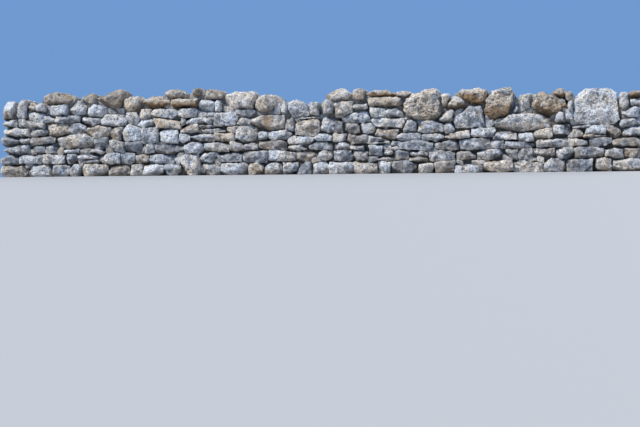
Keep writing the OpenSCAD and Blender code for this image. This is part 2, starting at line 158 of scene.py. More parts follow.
# What a stone without a look of its own may draw, in the order of LOOKS
TONE_SPREAD = (1.7, 1.2)
COPING_TONE = (0.3, 0.7)  # the least, and the spread above it
COPING_DRAWS = ((0.2, 0.7), (0.1, 0.8), (0.2, 0.7))
FACE_WARMTH = (0.0, 0.0, 0.1, 0.2, 0.35, 0.6)
FACE_STAIN = (0.0, 0.1, 0.3, 0.6)
FACE_LICHEN = (0.0, 0.3)

# Colours inside the finishes, and the tints of cooler and warmer patches
# The dark of the pits, also used as painted shade in the hollows
POCK_AND_HOLLOW_SHADE = (0.1, 0.095, 0.09)
RUBBED = (0.72, 0.7, 0.66)
RUST = (0.38, 0.22, 0.13)
STREAK_COLOUR = (0.3, 0.2, 0.12)
COOL_TINT = (0.93, 0.985, 1.065)
WARM_TINT = (1.11, 1.0, 0.86)

# The streaked stone: where the streak runs along the wall, and its half width
STREAK = (-0.74, 0.085)

BUMP_DEPTH = 0.026
STONE_SPECULAR = 0.25

# Noise patterns: scale, detail, roughness, distortion
PATTERNS = {
    "broad": (3.1, 6.0, 0.62, 0.0),
    "patchy": (8.5, 8.0, 0.72, 0.6),
    "grain": (40.0, 6.0, 0.74, 0.0),
    "crust": (7.5, 8.0, 0.7, 0.5),
    "wash": (5.3, 5.0, 0.6, 0.8),
    "tint": (4.3, 5.0, 0.64, 0.6),
    "stain edge": (4.4, 7.0, 0.64, 0.5),
    "stain clouds": (24.0, 5.0, 0.7, 0.0),
    "lichen": (13.0, 8.0, 0.72, 0.9),
    "rust": (21.0, 6.0, 0.66, 0.5),
    "streak edge": (8.0, 6.0, 0.7, 0.0),
    "soil edge": (9.0, 5.0, 0.6, 0.0),
}

# Smooth steps: from, to, and what they put out where that isn't 0 to 1
SMOOTH_STEPS = {
    "pale skin": (1.04, 1.3),
    "crust": (0.51, 0.63),
    "wash": (0.36, 0.62),
    "tint": (0.455, 0.675),
    "speckle": (0.4, 0.6, 0.54, 1.34),
    "pits": (0.36, 0.56),
    "stain": (0.2, -0.2),
    "stain clouds": (0.35, 0.65, 0.6, 1.25),
    # Painted shade on the stain, darker towards the bottom of a stone
    "painted shade toward the foot": (0.02, 0.4, 0.5, 1.1),
    "facing up": (-0.4, 0.7, 0.35, 1.0),
    "lichen": (0.0, 0.07),
    "rust": (0.0, 0.05),
    "streak": (1.4, 0.2, 0.0, 0.78),
    # Painted shade and dark earth in the joints: how deep behind the face it starts and is full
    "joint": (0.06, 0.14, 0.0, 0.85),
    "rubbed edge": (0.505, 0.57, 0.0, 0.45),
    # Painted shade in the hollows of a stone, by its Pointiness
    "hollow": (0.495, 0.43, 0.0, 0.55),
    "roughness": (0.6, 1.6, 0.96, 0.8),
}

# How much each pattern counts where several are added, or how far it covers what is under it
WEIGHTS = {
    "broad": 0.9,
    "patchy": 1.1,
    "tone": 0.28,
    "crust": 0.55,
    "wash": 0.8,
    "tint by warmth": 0.3,
    "grain in pits": 0.5,
    "pocks": 0.6,
    "patchy relief": 1.4,
    "grain relief": 0.6,
    "pit relief": 0.35,
    "ragged stain": 1.7,
    "stain reach": 0.42,
    "stain": 1.05,
    "lichen growth": 0.3,
    "lichen": 0.75,
    "rust": 0.6,
    "ragged streak": 0.3,
    "ragged soil": 0.03,
}
NOISE_MIDDLE = 0.5
PIT_SCALE = 15.0
STAIN_FOOT = 0.08
LICHEN_LEVEL = 0.74
RUST_MARGIN = 0.03

# Socket numbers of Blender's colour mix
MIX_SHARE, MIX_FIRST, MIX_SECOND, MIX_RESULT = 0, 6, 7, 2

# Lights: softness in degrees, colour, tilt and turn in degrees
KEY_LIGHT = (6, (1.0, 0.97, 0.92), (42, -44))
BACK_LIGHT = (40, (1.0, 0.94, 0.86), (55, 150))

SENSOR_WIDTH = 36.0
VIEW_REACH = 400.0
FLOOR_SIDE = 240.0
FLOOR_FOLD = -0.8
FLOOR_DROP = -9.5
FLOOR_ROUGHNESS = 0.95

# What one stone looks like: dark to pale tone, warmth, ochre underneath, lichen
LOOKS = {
    "white": (1.0, 0.05, 0.05, 0.0),
    "bluish_white": (0.8, 0.04, 0.1, 0.05),
    "pale": (0.8, 0.12, 0.15, 0.1),
    "cream": (1.0, 0.4, 0.25, 0.25),
    "grey": (0.65, 0.12, 0.15, 0.25),
    "bluish": (0.55, 0.0, 0.05, 0.15),
    "tan": (0.9, 0.7, 0.4, 0.4),
    "tan_face": (0.7, 0.5, 0.3, 0.15),
    "mottled_tan": (0.85, 0.6, 0.6, 0.55),
    "sloped_tan": (1.0, 0.5, 0.6, 0.45),
    "pale_ochre": (0.85, 0.3, 0.95, 0.15),
    "ochre": (0.9, 0.8, 1.0, 0.4),
    "ochre_foot": (0.8, 0.5, 0.9, 0.4),
    "brown": (0.25, 1.0, 1.0, 0.45),
    "brown_under": (0.85, 0.5, 1.45, 0.35),
    "dark_tan": (0.5, 0.8, 0.5, 0.6),
    "lens": (1.1, 0.2, 0.8, 0.1),
    "olive": (0.5, 0.75, 0.35, 0.85),
    "pinkish": (1.0, 0.5, 0.4, 0.5),
    "speckled": (0.75, 0.6, 0.9, 0.8),
    "great_slab": (0.95, 0.08, 0.35, 0.1),
    "streaked": (0.6, 0.45, 0.5, 0.1),
}

# Stones whose colour stands out: a point on the stone, along and up in metres, and its look
NOTED_STONES = (
    (-5.18, 1.28, "tan"),
    (-5.0, 1.28, "pale"),
    (-4.69, 1.24, "bluish_white"),
    (-4.67, 1.45, "dark_tan"),
    (-4.3, 1.28, "bluish_white"),
    (-4.1, 1.44, "olive"),
    (-3.93, 1.22, "bluish_white"),
    (-3.68, 1.42, "dark_tan"),
    (-3.29, 1.3, "mottled_tan"),
    (-2.82, 1.34, "ochre"),
    (-2.46, 1.5, "dark_tan"),
    (-2.28, 1.33, "ochre"),
    (-2.04, 1.52, "olive"),
    (-1.88, 1.25, "pale"),
    (-1.64, 1.26, "white"),
    (-1.73, 1.48, "olive"),
    (-1.28, 1.35, "cream"),
    (-0.77, 1.3, "pinkish"),
    (-0.45, 1.2, "grey"),
    (-0.17, 1.2, "pale"),
    (0.1, 1.18, "grey"),
    (0.32, 1.22, "grey"),
    (0.56, 1.42, "cream"),
    (0.93, 1.22, "grey"),
    (0.89, 1.42, "tan"),
    (1.28, 1.43, "ochre"),
    (1.35, 1.27, "tan"),
    (1.7, 1.4, "tan"),
    (2.01, 1.2, "sloped_tan"),
    (2.41, 1.3, "tan"),
    (2.64, 1.23, "pale_ochre"),
    (2.86, 1.35, "brown_under"),
    (3.34, 1.22, "ochre_foot"),
    (3.62, 1.13, "pale"),
    (3.8, 1.21, "grey"),
    (4.21, 1.17, "speckled"),
    (4.38, 0.97, "pale"),
    (4.4, 1.36, "brown"),
    (4.54, 0.97, "pale"),
    (4.54, 1.31, "olive"),
    (4.57, 1.15, "grey"),
    (4.99, 1.13, "great_slab"),
    (5.45, 1.21, "grey"),
    (5.65, 1.33, "brown"),
    (-3.66, 1.08, "white"),
    (-3.25, 1.03, "pale"),
    (-3.01, 1.16, "tan"),
    (-2.6, 1.0, "tan"),
    (-2.65, 1.11, "pale"),
    (-2.22, 1.12, "pale"),
    (-1.5, 1.0, "grey"),
    (-1.13, 0.75, "pale"),
    (-0.78, 0.94, "streaked"),
    (-0.52, 0.72, "grey"),
    (-0.14, 0.62, "pale"),
    (-0.02, 0.84, "tan_face"),
    (0.41, 0.88, "grey"),
    (0.62, 1.13, "tan_face"),
    (0.85, 1.0, "bluish"),
    (1.43, 0.9, "pale"),
    (1.07, 1.08, "pale"),
    (1.07, 0.81, "pale"),
    (1.54, 1.08, "grey"),
    (1.77, 0.67, "grey"),
    (2.15, 0.8, "pale"),
    (2.82, 0.98, "bluish"),
    (3.07, 0.72, "bluish_white"),
    (3.44, 0.64, "bluish_white"),
    (3.78, 0.85, "lens"),
    (4.43, 0.73, "pale"),
)

FRONT = (
    "front_footings",
    "front_course_2",
    "front_course_3",
    "front_course_4",
    "front_course_5",
    "front_course_6",
    "front_course_7",
)
BACK = tuple(name.replace("front", "back") for name in FRONT)
COPING = ("coping_1", "coping_2", "coping_3", "coping_4")
HEADS = ("left_head", "right_head")
SINGLE_FACE = ("lens_boulder", "grey_boulder", "rounded_boulder")
SINGLE_COPING = (
    "sloping_boulder",
    "overhanging_boulder",
    "tall_boulder",
    "keeled_boulder",
    "great_slab",
)


class WallStones(bpy.types.PropertyGroup):
    """How far the stones are weathered."""

    face_voxel: FloatProperty(
        name="Face stone grain",
        description="Size of the facets of a face stone before they are thinned",
        default=0.0175,
        min=0.008,
        subtype="DISTANCE",
        unit="LENGTH",
    )
    coping_voxel: FloatProperty(
        name="Coping stone grain",
        description="Size of the facets of a coping stone before they are thinned",
        default=0.019,
        min=0.008,
        subtype="DISTANCE",
        unit="LENGTH",
    )
    chips: IntProperty(
        name="Chips",
        description="Most corners knocked off one stone",
        default=10,
        min=0,
    )
    face_breaks: IntProperty(
        name="Face breaks",
        description="Facets broken on the outer face of one stone",
        default=4,
        min=0,
    )
    chip_depth: FloatProperty(
        name="Chip depth",
        description="Share of a stone's reach that a chip takes off",
        default=0.095,
        min=0.0,
        subtype="FACTOR",
    )
    rounding: FloatProperty(
        name="Rounding",
        description="Share of a coping stone's reach taken off the corners of its outline",
        default=0.055,
        min=0.0,
        subtype="FACTOR",
    )
    wear_steps: IntProperty(
        name="Wear",
        description="How often the edges of a stone are rubbed down",
        default=1,
        min=0,
    )
    swell: FloatProperty(
        name="Swell",
        description="Height of the broad swells and hollows of a stone",
        default=0.045,
        subtype="DISTANCE",
        unit="LENGTH",
    )
    lumps: FloatProperty(
        name="Lumps",
        description="Height of the fist-sized lumps of a stone",
        default=0.038,
        subtype="DISTANCE",
        unit="LENGTH",
    )
    ledges: FloatProperty(
        name="Ledges",
        description="Height of the broken ledges of a stone",
        default=0.022,
        subtype="DISTANCE",
        unit="LENGTH",
    )
    pitting: FloatProperty(
        name="Pitting",
        description="Height of the small weathered pits of a stone",
        default=0.016,
        subtype="DISTANCE",
        unit="LENGTH",
    )
    kept_share: FloatProperty(
        name="Kept facets",
        description="Share of the facets kept when a stone is thinned",
        default=0.36,
        min=0.05,
        max=1.0,
        subtype="FACTOR",
    )


class WallColours(bpy.types.PropertyGroup):
    """The colours of the limestone and what has grown and washed over it."""

    pale: FloatVectorProperty(
        name="Pale limestone",
        description="Sunlit weathered face",
        default=(0.72, 0.71, 0.69),
        subtype="COLOR",
    )
    grey: FloatVectorProperty(
        name="Grey limestone",
        description="Older grey skin",
        default=(0.2, 0.205, 0.22),
        subtype="COLOR",
    )
    warm: FloatVectorProperty(
        name="Tan limestone",
        description="Tan wash on warmer stones",
        default=(0.4, 0.29, 0.17),
        subtype="COLOR",
    )
    crust: FloatVectorProperty(
        name="Dark crust",
        description="Dark weathered crust in patches",
        default=(0.13, 0.125, 0.12),
        subtype="COLOR",
    )
    # Ochre stain colour, also darkened as painted shade low on the stones
    ochre: FloatVectorProperty(
        name="Ochre underside with painted shade",
        description="Iron-stained undersides",
        default=(0.24, 0.155, 0.085),
        subtype="COLOR",
    )
    lichen: FloatVectorProperty(
        name="Olive lichen",
        description="Olive lichen on the coping",
        default=(0.17, 0.17, 0.08),
        subtype="COLOR",
    )
    # Dark earth deep in the joints, also used as painted shade there
    soil_and_shade: FloatVectorProperty(
        name="Joint soil",
        description="Dark soil deep in the joints",
        default=(0.1, 0.092, 0.082),
        subtype="COLOR",
    )
    floor: FloatVectorProperty(
        name="Floor",
        description="Plain pale floor",
        default=(0.42, 0.41, 0.39),
        subtype="COLOR",
    )
    sky: FloatVectorProperty(
        name="Surroundings",
        description="Plain soft light from all round",
        default=(0.23, 0.46, 0.9),
        subtype="COLOR",
    )


class WallStage(bpy.types.PropertyGroup):
    """Camera, lights and floor."""

    camera_place: FloatVectorProperty(
        name="Camera place",
        description="Where the camera stands",
        default=(4.253, -23.306, -0.68),
        subtype="TRANSLATION",
        unit="LENGTH",
    )
    camera_turn: FloatProperty(
        name="Camera turn",
        description="Turn of the level camera to the left",
        default=math.radians(10.0),
        subtype="ANGLE",
        unit="ROTATION",
    )
    camera_roll: FloatProperty(
        name="Camera roll",
        description="Small roll of the hand-held camera",
        default=math.radians(0.25),
        subtype="ANGLE",
        unit="ROTATION",
    )
    lens: FloatProperty(
        name="Lens",
        description="Focal length",
        default=74.3,
        unit="CAMERA",
    )
    sun: FloatProperty(
        name="Key light",
        description="Strength of the soft key light",
        default=4.0,
    )
    back_light: FloatProperty(
        name="Back light",
        description="Strength of the weak light on the back",
        default=1.1,
    )
    sky_strength: FloatProperty(
        name="Fill light",
        description="Strength of the light from all round",
        default=0.7,
    )


def deselect_all():
    for thing in bpy.context.selected_objects:
        thing.select_set(False)


def make_active(thing):
    deselect_all()
    thing.select_set(True)
    bpy.context.view_layer.objects.active = thing


def edit_all(thing):
    """Opens a mesh in edit mode with all of it selected."""
    make_active(thing)
    bpy.ops.object.mode_set(mode="EDIT")
    bpy.ops.mesh.select_all(action="SELECT")


def leave_edit():
    bpy.ops.object.mode_set(mode="OBJECT")


def corners(thing):
    return [vertex.co.copy() for vertex in thing.data.vertices]


def middle(points):
    """Centre and size of the box round some points."""
    low = Vector([min(p[axis] for p in points) for axis in range(3)])
    high = Vector([max(p[axis] for p in points) for axis in range(3)])
    return (low + high) / 2, high - low


def place_order(thing):
    """Sorts stones from left to right, the same way on each run."""
    centre, _ = middle(corners(thing))
    return centre.x + RISE_WEIGHT * centre.z + DEPTH_WEIGHT * centre.y


def stones_of(node):
    """One object for each stone of a CAD node, made from a merged copy of its mesh."""
    copy = bpy.data.objects.new(node + "_stone", frame["nodes"][node].data.copy())
    bpy.context.scene.collection.objects.link(copy)
    copy.data.materials.clear()
    edit_all(copy)
    bpy.ops.mesh.remove_doubles(threshold=MERGE_DISTANCE)
    bpy.ops.mesh.separate(type="LOOSE")
    leave_edit()
    return sorted(bpy.context.selected_objects, key=place_order)


def corners_now(thing):
    """Corners of a mesh that is open in edit mode."""
    return [vertex.co.copy() for vertex in bmesh.from_edit_mesh(thing.data).verts]


def cuts(draw, size, outward, count, depth, faces, outline):
    """Lean and share of each cut: chips, breaks on the face, then corners of the outline."""
    for _ in range(count):
        across = draw.uniform(-1, 1)
        out = draw.choice(outward) * draw.uniform(*CHIP_OUTWARD)
        yield (across, out, draw.uniform(-1, 1)), depth * draw.uniform(*CHIP_SHARE)
    for _ in range(faces):
        across = draw.uniform(*BREAK_LEAN)
        out = draw.choice(outward)
        lean = (across, out, draw.uniform(*BREAK_LEAN))
        yield lean, depth * draw.uniform(*BREAK_SHARE) * min(1.0, FACE_REACH / size.y)
    for right, up in OUTLINE_CORNERS if outline else ():
        lean = (right * draw.uniform(*OUTLINE_LEAN), 0.0, up * draw.uniform(*OUTLINE_LEAN))
        yield lean, outline * draw.uniform(*CHIP_SHARE)


def chip(stone, draw, count, depth, faces, outline=0.0):
    """Knocks edges and corners off a stone's outer face and breaks it into facets."""
    centre, size = middle(corners(stone))
    outward = (-1, 1) if size.y > THROUGH else (1 if centre.y > 0 else -1,)
    edit_all(stone)
    for lean, share in cuts(draw, size, outward, count, depth, faces, outline):
        way = Vector([part / reach for part, reach in zip(lean, size)]).normalized()
        along = [point.dot(way) for point in corners_now(stone)]
        cut = max(along) - (max(along) - min(along)) * share
        bpy.ops.mesh.select_all(action="SELECT")
        bpy.ops.mesh.bisect(
            plane_co=way * cut,
            plane_no=way,
            use_fill=True,
            clear_outer=True,
            threshold=MERGE_DISTANCE,
        )
    leave_edit()


def apply_modifier(thing, kind, **settings):
    modifier = thing.modifiers.new(kind.title(), kind)
    for name, value in settings.items():
        setattr(modifier, name, value)
    bpy.ops.object.modifier_apply(modifier=modifier.name)


def noted_look(centre, size):
    """The noted look whose point lies nearest to a stone's middle, if one lies on the stone."""
    found = None
    for x, z, look in NOTED_STONES:
        off = max(abs(x - centre.x) / size.x, abs(z - centre.z) / size.z)
        if off < 0.5 and (found is None or off < found[0]):
            found = (off, look)
    return LOOKS[found[1]] if found else None


def drawn_look(draw, coping):
    """A look for a stone that has none noted."""
    tone = draw.betavariate(*TONE_SPREAD)
    if coping:
        low, spread = COPING_TONE
        return (low + spread * tone, *(draw.uniform(*span) for span in COPING_DRAWS))
    warmth = draw.choice(FACE_WARMTH)
    stain = draw.choice(FACE_STAIN)
    return (tone, warmth, stain, draw.uniform(*FACE_LICHEN))


def mark_look(stone, look):
    """Writes a stone's look, and how high each point lies in the stone, into its mesh."""
    points = corners(stone)
    centre, size = middle(points)
    marks = stone.data.color_attributes.new(STONE_LOOK, "FLOAT_COLOR", "POINT")
    rises = stone.data.color_attributes.new(STONE_RISE, "FLOAT_COLOR", "POINT")
    for mark, rise, point in zip(marks.data, rises.data, points):
        mark.color = look
        share = (point.z - centre.z) / size.z + 0.5
        rise.color = (share, share, share, 1.0)


def texture(name, kind, size, **settings):
    """A procedural texture for displacing, made once."""
    made = bpy.data.textures.get(name) or bpy.data.textures.new(name, kind)
    made.noise_scale = size
    for key, value in settings.items():
        setattr(made, key, value)
    return made


def weather(piece, settings, swell_share):
    """Swells, lumps, layered ledges and pits over all the stones of a piece."""
    beds = bpy.data.objects.new("Beds", None)
    beds.scale = BED_SCALE
    bpy.context.scene.collection.objects.link(beds)
    bpy.context.view_layer.update()
    on_beds = {"texture_coords": "OBJECT", "texture_coords_object": beds}
    strengths = (
        settings.swell * swell_share,
        settings.lumps * swell_share,
        settings.ledges * swell_share**2,
        -settings.pitting,
    )
    for (name, kind, size, level, extra), strength in zip(RELIEF, strengths):
        apply_modifier(
            piece,
            "DISPLACE",
            texture=texture(name, kind, size, **extra),
            strength=strength,
            mid_level=level,
            **(on_beds if name == "Ledges" else {"texture_coords": "LOCAL"}),
        )
    bpy.data.objects.remove(beds)


def rest_on_floor(piece):
    """Flattens onto the floor what has swelled below it."""
    for vertex in piece.data.vertices:
        vertex.co.z = max(vertex.co.z, 0.0)


def finish_piece(piece, nodes, material):
    """Hangs a finished piece on the wall's body in place of its nodes."""
    rest_on_floor(piece)
    piece.data.materials.clear()
    piece.data.materials.append(material)
    make_active(piece)
    bpy.ops.object.shade_smooth_by_angle(angle=FACET_ANGLE)
    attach(piece, BODY)
    if nodes:
        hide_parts(*nodes)
    return piece


def joined(stones, name):
    """Stones joined to one named piece."""
    deselect_all()
    for stone in stones:
        stone.select_set(True)
    piece = stones[0]
    bpy.context.view_layer.objects.active = piece
    if len(stones) > 1:
        bpy.ops.object.join()
    piece.name = name
    piece.data.name = name
    return piece


def dress(node, material, coping, voxel, swell_share=1.0, wear=1.0, kept=None):
    """Weathers every stone of a CAD node and joins them to one piece."""
    settings = bpy.context.scene.wall_stones
    outline = settings.rounding if coping else 0.0
    made = []
    for rank, stone in enumerate(stones_of(node)):
        draw = random.Random(f"{node} {rank}")
        centre, size = middle(corners(stone))
        count = draw.randint(LEAST_CHIPS, settings.chips)
        chip(stone, draw, count, settings.chip_depth * wear, settings.face_breaks, outline)
        grain = voxel * (THIN_GRAIN if min(size) < THIN_STONE else 1.0)
        make_active(stone)
        apply_modifier(stone, "REMESH", mode="VOXEL", voxel_size=grain)
        mark_look(stone, noted_look(centre, size) or drawn_look(draw, coping))
        made.append(stone)
    piece = joined(made, node + "_weathered")
    make_active(piece)
    apply_modifier(piece, "SMOOTH", factor=SMOOTHING, iterations=settings.wear_steps)
    weather(piece, settings, swell_share)
    apply_modifier(piece, "DECIMATE", ratio=kept or settings.kept_share)
    return finish_piece(piece, (node,), material)


class Tree:
    """A node tree under construction."""

    def __init__(self, tree):
        self.tree = tree

    def add(self, kind, inputs=None, **settings):
        node = self.tree.nodes.new(kind)
        for name, value in settings.items():
            setattr(node, name, value)
        for name, value in (inputs or {}).items():
            self.feed(node, name, value)
        return node

    def feed(self, node, name, value):
        """Links a socket to an input, or sets the input's own value."""
        socket = node.inputs[name]
        if isinstance(value, bpy.types.NodeSocket):
            self.tree.links.new(value, socket)
        else:
            socket.default_value = value

    def maths(self, operation, first, second=0.0, clamp=False):
        node = self.add("ShaderNodeMath", {0: first, 1: second}, operation=operation)
        node.use_clamp = clamp
        return node.outputs[0]

    def times(self, first, second, clamp=False):
        return self.maths("MULTIPLY", first, second, clamp)

    def plus(self, first, second):
        return self.maths("ADD", first, second)

    def minus(self, first, second):
        return self.maths("SUBTRACT", first, second)

    def weigh(self, value, name, clamp=False):
        """A value times its weight in WEIGHTS."""
        return self.times(value, WEIGHTS[name], clamp)

    def step(self, value, name):
        """Maps a range of a value smoothly to another, by its row in SMOOTH_STEPS."""
        low, high, *out = SMOOTH_STEPS[name]
        out_low, out_high = out or (0.0, 1.0)
        node = self.add(
            "ShaderNodeMapRange",
            {
                "Value": value,
                "From Min": low,
                "From Max": high,
                "To Min": out_low,
                "To Max": out_high,
            },
            interpolation_type="SMOOTHSTEP",
        )
        return node.outputs["Result"]

    def blend(self, share, first, second, mode="MIX"):
        node = self.add("ShaderNodeMix", data_type="RGBA", blend_type=mode)
        self.feed(node, MIX_SHARE, share)
        self.feed(node, MIX_FIRST, first)
        self.feed(node, MIX_SECOND, second)
        return node.outputs[MIX_RESULT]

    def noise(self, vector, name):
        """A noise pattern, by its row in PATTERNS."""
        scale, detail, roughness, distortion = PATTERNS[name]
        node = self.add(
            "ShaderNodeTexNoise",
            {
                "Vector": vector,
                "Scale": scale,
                "Detail": detail,
                "Roughness": roughness,
                "Distortion": distortion,
            },
        )
        return node.outputs[0]

    def cells(self, vector, scale):
        node = self.add("ShaderNodeTexVoronoi", {"Vector": vector, "Scale": scale}, feature="F1")
        return node.outputs["Distance"]

    def parts(self, vector):
        """The X, Y and Z of a vector."""
        return self.add("ShaderNodeSeparateXYZ", {0: vector}).outputs


def rgb(colour):
    """A colour with the alpha that a colour socket wants."""
    return (*colour, 1.0)


def new_group(name, inputs, outputs):
    """An empty shader node group with named sockets."""
    group = bpy.data.node_groups.new(name, "ShaderNodeTree")
    for label, kind in inputs:
        group.interface.new_socket(label, in_out="INPUT", socket_type="NodeSocket" + kind)
    for label, kind in outputs:
        group.interface.new_socket(label, in_out="OUTPUT", socket_type="NodeSocket" + kind)
    tree = Tree(group)
    given = tree.add("NodeGroupInput").outputs
    result = tree.add("NodeGroupOutput")
    return group, tree, given, result


def limestone_group():
    """Mottled limestone: colour and relief."""
    group, tree, given, result = new_group(
        "Weathered limestone",
        (
            ("Place", "Vector"),
            ("Tone", "Float"),
            ("Warmth", "Float"),
            ("Pale", "Color"),
            ("Grey", "Color"),
            ("Warm", "Color"),
            ("Crust", "Color"),
        ),
        (("Color", "Color"), ("Relief", "Float")),
    )
    place = given["Place"]
    patchy = tree.noise(place, "patchy")
    grain = tree.noise(place, "grain")
    broad = tree.weigh(tree.noise(place, "broad"), "broad")
    mottle = tree.plus(broad, tree.weigh(patchy, "patchy"))
    mottle = tree.plus(mottle, tree.weigh(given["Tone"], "tone"))
    base = tree.blend(tree.step(mottle, "pale skin"), given["Grey"], given["Pale"])
    crust = tree.step(tree.noise(place, "crust"), "crust")
    base = tree.blend(tree.weigh(crust, "crust"), base, given["Crust"])
    wash = tree.times(given["Warmth"], tree.step(tree.noise(place, "wash"), "wash"))
    base = tree.blend(tree.weigh(wash, "wash"), base, given["Warm"])
    tint = tree.plus(tree.noise(place, "tint"), tree.weigh(given["Warmth"], "tint by warmth"))
    tint = tree.blend(tree.step(tint, "tint"), rgb(COOL_TINT), rgb(WARM_TINT))
    base = tree.blend(1.0, base, tint, "MULTIPLY")
    base = tree.blend(1.0, base, tree.step(grain, "speckle"), "MULTIPLY")
    pits = tree.plus(tree.cells(place, PIT_SCALE), tree.weigh(grain, "grain in pits"))
    pits = tree.step(pits, "pits")
    base = tree.blend(tree.weigh(tree.minus(1.0, pits), "pocks"), base, rgb(POCK_AND_HOLLOW_SHADE))
    relief = tree.plus(tree.weigh(patchy, "patchy relief"), tree.weigh(grain, "grain relief"))
    relief = tree.plus(relief, tree.weigh(pits, "pit relief"))
    tree.feed(result, "Color", base)
    tree.feed(result, "Relief", relief)
    return group


def stain_group():
    """Ochre iron stain on the lower part of a stone, with painted shade that darkens it towards
    the bottom.
    """
    group, tree, given, result = new_group(
        "Ochre underside with painted shade",
        (
            ("Color", "Color"),
            ("Place", "Vector"),
            ("Rise", "Float"),
            ("Amount", "Float"),
            ("Stain", "Color"),
        ),
        (("Color", "Color"),),
    )
    ragged = tree.minus(tree.noise(given["Place"], "stain edge"), NOISE_MIDDLE)
    height = tree.plus(given["Rise"], tree.weigh(ragged, "ragged stain"))
    reach = tree.plus(STAIN_FOOT, tree.weigh(given["Amount"], "stain reach"))
    share = tree.weigh(given["Amount"], "stain", clamp=True)
    share = tree.times(tree.step(tree.minus(height, reach), "stain"), share)
    cloudy = tree.step(tree.noise(given["Place"], "stain clouds"), "stain clouds")
    # Painted shade: the stain is darker towards the bottom of the stone
    shade = tree.times(cloudy, tree.step(given["Rise"], "painted shade toward the foot"))
    stain = tree.blend(1.0, given["Stain"], shade, "MULTIPLY")
    tree.feed(result, "Color", tree.blend(share, given["Color"], stain))
    return group


def lichen_group():
    """Olive and rusty lichen, thickest on the faces that look up."""
    group, tree, given, result = new_group(
        "Lichen",
        (
            ("Color", "Color"),
            ("Place", "Vector"),
            ("Normal", "Vector"),
            ("Amount", "Float"),
            ("Lichen", "Color"),
        ),
        (("Color", "Color"),),
    )
    up = tree.parts(given["Normal"])["Z"]
    growth = tree.times(given["Amount"], tree.step(up, "facing up"))
    wanted = tree.minus(LICHEN_LEVEL, tree.weigh(growth, "lichen growth"))
    olive = tree.step(tree.minus(tree.noise(given["Place"], "lichen"), wanted), "lichen")
    colour = tree.blend(tree.weigh(olive, "lichen"), given["Color"], given["Lichen"])
    wanted = tree.plus(wanted, RUST_MARGIN)
    rust = tree.step(tree.minus(tree.noise(given["Place"], "rust"), wanted), "rust")
    tree.feed(result, "Color", tree.blend(tree.weigh(rust, "rust"), colour, rgb(RUST)))
    return group


def streak_group():
    """A tan streak that water has drawn down one stone."""
    group, tree, given, result = new_group(
        "Tan streak",
        (("Color", "Color"), ("Place", "Vector"), ("Middle", "Float"), ("Half", "Float")),
        (("Color", "Color"),),
    )
    ragged = tree.minus(tree.noise(given["Place"], "streak edge"), NOISE_MIDDLE)
    off = tree.minus(tree.parts(given["Place"])["X"], given["Middle"])
    off = tree.maths("ABSOLUTE", tree.plus(off, tree.weigh(ragged, "ragged streak")))
    share = tree.step(tree.maths("DIVIDE", off, given["Half"]), "streak")
    tree.feed(result, "Color", tree.blend(share, given["Color"], rgb(STREAK_COLOUR)))
    return group


def joint_soil_and_shade_group():
    """Dark earth and painted shade behind the face, deep in the joints: the deeper a point lies
    behind the face, the darker.
    """
    group, tree, given, result = new_group(
        "Joint soil",
        (("Color", "Color"), ("Place", "Vector"), ("Soil", "Color")),
        (("Color", "Color"),),
    )
    place = tree.parts(given["Place"])
    half = tree.minus(FOOT_HALF, tree.times(place["Z"], BATTER))
    deep = tree.minus(half, tree.maths("ABSOLUTE", place["Y"]))
    ragged = tree.weigh(tree.noise(given["Place"], "soil edge"), "ragged soil")
    deep = tree.plus(deep, ragged)
    # Painted shade and dark earth, stronger the deeper the point lies behind the face
    tree.feed(result, "Color", tree.blend(tree.step(deep, "joint"), given["Color"], given["Soil"]))
    return group


def rubbed_edges_and_hollow_shade_group():
    """Pale rubbed edges, and painted shade that darkens the hollows."""
    group, tree, given, result = new_group(
        "Rubbed edges and painted hollow shade",
        (("Color", "Color"), ("Edge", "Float")),
        (("Color", "Color"),),
    )
    pale = tree.blend(tree.step(given["Edge"], "rubbed edge"), given["Color"], rgb(RUBBED))
    # Painted shade: the hollows that Pointiness finds are darkened
    dark = tree.blend(tree.step(given["Edge"], "hollow"), pale, rgb(POCK_AND_HOLLOW_SHADE))
    tree.feed(result, "Color", dark)
    return group


GROUP_MAKERS = {
    "Weathered limestone": limestone_group,
    "Ochre underside with painted shade": stain_group,
    "Lichen": lichen_group,
    "Joint soil": joint_soil_and_shade_group,
    "Tan streak": streak_group,
    "Rubbed edges and painted hollow shade": rubbed_edges_and_hollow_shade_group,
}


def placed(tree, name, **inputs):
    """The outputs of a shader node group placed in a material; the group is built once."""
    node = tree.add("ShaderNodeGroup")
    node.node_tree = bpy.data.node_groups.get(name) or GROUP_MAKERS[name]()
    for label, value in inputs.items():
        tree.feed(node, label, value)
    return node.outputs


